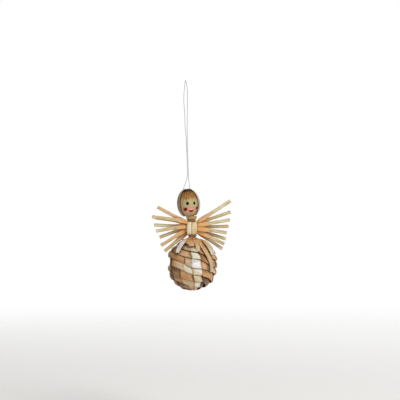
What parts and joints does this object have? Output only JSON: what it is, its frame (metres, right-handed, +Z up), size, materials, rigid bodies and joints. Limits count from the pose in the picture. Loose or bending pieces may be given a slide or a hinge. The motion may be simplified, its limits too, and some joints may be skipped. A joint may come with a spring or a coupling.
{
  "type": "straw angel ornament",
  "caption": "Hanging straw angel with a round painted head, wings of whole straws in a fan and a plaited bulb skirt.",
  "frame": {"origin": "the top of the thread loop, where it hangs over a twig or hook", "axes": "+Z up along the thread, -Y the way the face looks, +X to the viewer's right along the wings"},
  "size_m": [0.0797, 0.0497, 0.2101],
  "materials": {
    "thread": "thin twisted cotton, pale grey-beige, matt",
    "painted_ball": "wooden ball with a thin hand-painted face, satin",
    "tie_thread": "brown sewing thread wound tight, matt",
    "gathered_straw": "gathered flattened straw, golden, satin",
    "pale_straw": "flattened straw, pale cream, satin sheen along the grain",
    "wing_straw": "whole wheat straw, golden to grey-green, satin sheen",
    "plait_straw": "flattened folded straw, tan to silver-grey, satin sheen"
  },
  "bodies": {
    "root": {"hanging_thread": "thread", "head": "painted_ball", "collar": "gathered_straw", "neck_tie": "tie_thread", "waist_tie": "tie_thread", "hair_straw_1": "pale_straw", "hair_straw_2": "pale_straw", "hair_straw_3": "pale_straw", "hair_straw_4": "pale_straw", "hair_straw_5": "pale_straw", "hair_straw_6": "pale_straw", "hair_straw_7": "pale_straw", "bodice_straw_front_left": "pale_straw", "bodice_straw_front_right": "pale_straw", "bodice_straw_back_left": "pale_straw", "bodice_straw_back_right": "pale_straw", "wing_straw_1": "wing_straw", "wing_straw_2": "wing_straw", "wing_straw_3": "wing_straw", "wing_straw_4": "wing_straw", "wing_straw_5": "wing_straw", "wing_straw_6": "wing_straw", "wing_straw_7": "wing_straw", "wing_straw_8": "wing_straw", "yoke_straw_1": "plait_straw", "yoke_straw_2": "plait_straw", "yoke_straw_3": "plait_straw", "yoke_straw_4": "plait_straw", "yoke_straw_5": "plait_straw", "yoke_straw_6": "plait_straw", "yoke_straw_7": "plait_straw", "yoke_straw_8": "plait_straw", "yoke_straw_9": "plait_straw", "yoke_straw_10": "plait_straw", "skirt_straw_1": "plait_straw", "skirt_straw_2": "plait_straw", "skirt_straw_3": "plait_straw", "skirt_straw_4": "plait_straw", "skirt_straw_5": "plait_straw"}
  },
  "joints": []
}
